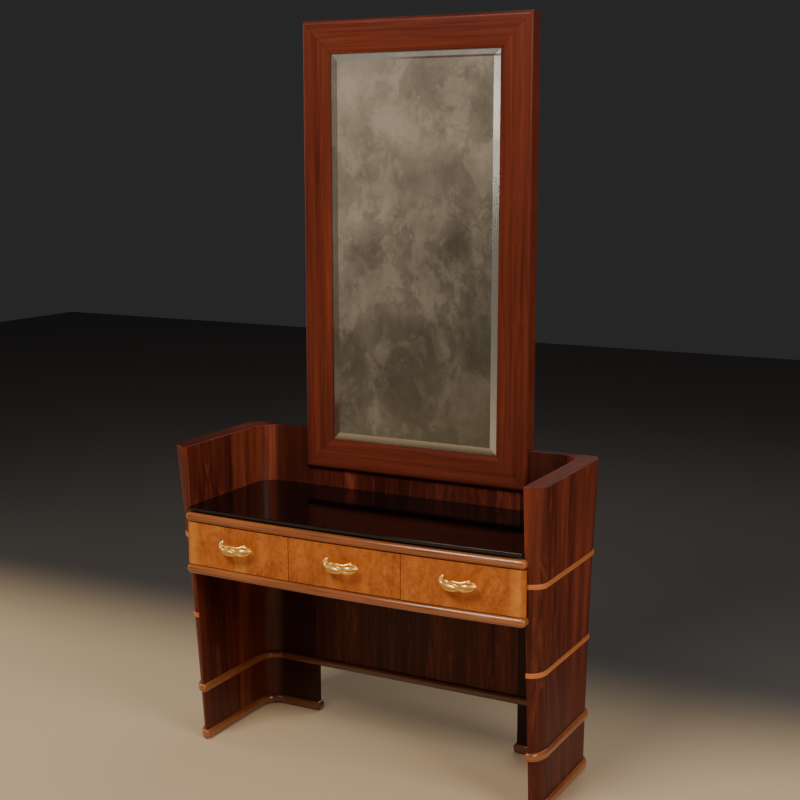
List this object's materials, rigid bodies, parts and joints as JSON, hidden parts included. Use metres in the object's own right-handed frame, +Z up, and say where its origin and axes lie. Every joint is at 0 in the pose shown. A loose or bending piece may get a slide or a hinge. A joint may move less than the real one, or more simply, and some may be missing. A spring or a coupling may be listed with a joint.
{
  "type": "vanity table with mirror",
  "caption": "Vanity table with flared veneered end panels, drawers with cast ribbon handles, a black glass top and a tall framed mirror fixed to its back.",
  "frame": {"origin": "on the floor, midway between the sides and midway between the front of the handles and the back of the mirror frame", "axes": "+X to the right seen from the front, +Y from the front to the back, +Z up"},
  "size_m": [1.19, 0.5142, 2.181],
  "materials": {
    "rosewood": "polished veneer",
    "burl_veneer": "polished burl veneer",
    "light_wood": "polished solid moulding",
    "dark_board": "ebonised board",
    "case_wood": "plain board",
    "drawer_wood": "planed drawer wood",
    "backing": "plywood backing",
    "black_glass": "polished opaque black glass",
    "mirror": "aged silvered glass",
    "cast_brass": "polished cast brass",
    "screw_steel": "plain steel"
  },
  "bodies": {
    "carcass": {"back_panel": "rosewood", "back_rail_moulding": "light_wood", "backing_board": "backing", "bottom_front_moulding": "light_wood", "case_back_board": "case_wood", "case_bottom_board": "case_wood", "frame_bottom_rail": "rosewood", "frame_top_rail": "rosewood", "glass_top": "black_glass", "left_base_moulding": "light_wood", "left_end_panel": "rosewood", "left_foot_band": "light_wood", "left_frame_stile": "rosewood", "left_lower_band": "light_wood", "left_partition": "case_wood", "left_upper_band": "light_wood", "lower_mirror_batten": "case_wood", "mirror_glass": "mirror", "mirror_screws": "screw_steel", "right_base_moulding": "light_wood", "right_end_panel": "rosewood", "right_foot_band": "light_wood", "right_frame_stile": "rosewood", "right_lower_band": "light_wood", "right_partition": "case_wood", "right_upper_band": "light_wood", "top_board": "dark_board", "top_front_moulding": "light_wood", "upper_mirror_batten": "case_wood"},
    "left_drawer": {"left_drawer_back": "drawer_wood", "left_drawer_bottom": "drawer_wood", "left_drawer_front": "burl_veneer", "left_drawer_left_side": "drawer_wood", "left_drawer_right_side": "drawer_wood", "left_handle": "cast_brass", "left_handle_screws": "screw_steel"},
    "middle_drawer": {"middle_drawer_back": "drawer_wood", "middle_drawer_bottom": "drawer_wood", "middle_drawer_front": "burl_veneer", "middle_drawer_left_side": "drawer_wood", "middle_drawer_right_side": "drawer_wood", "middle_handle": "cast_brass", "middle_handle_screws": "screw_steel"},
    "right_drawer": {"right_drawer_back": "drawer_wood", "right_drawer_bottom": "drawer_wood", "right_drawer_front": "burl_veneer", "right_drawer_left_side": "drawer_wood", "right_drawer_right_side": "drawer_wood", "right_handle": "cast_brass", "right_handle_screws": "screw_steel"}
  },
  "joints": [
    {"name": "left_drawer_slide", "type": "slide", "parent": "carcass", "child": "left_drawer", "axis": [0, -1, 0], "range_m": [0, 0.24]},
    {"name": "middle_drawer_slide", "type": "slide", "parent": "carcass", "child": "middle_drawer", "axis": [0, -1, 0], "range_m": [0, 0.24]},
    {"name": "right_drawer_slide", "type": "slide", "parent": "carcass", "child": "right_drawer", "axis": [0, -1, 0], "range_m": [0, 0.24]}
  ]
}
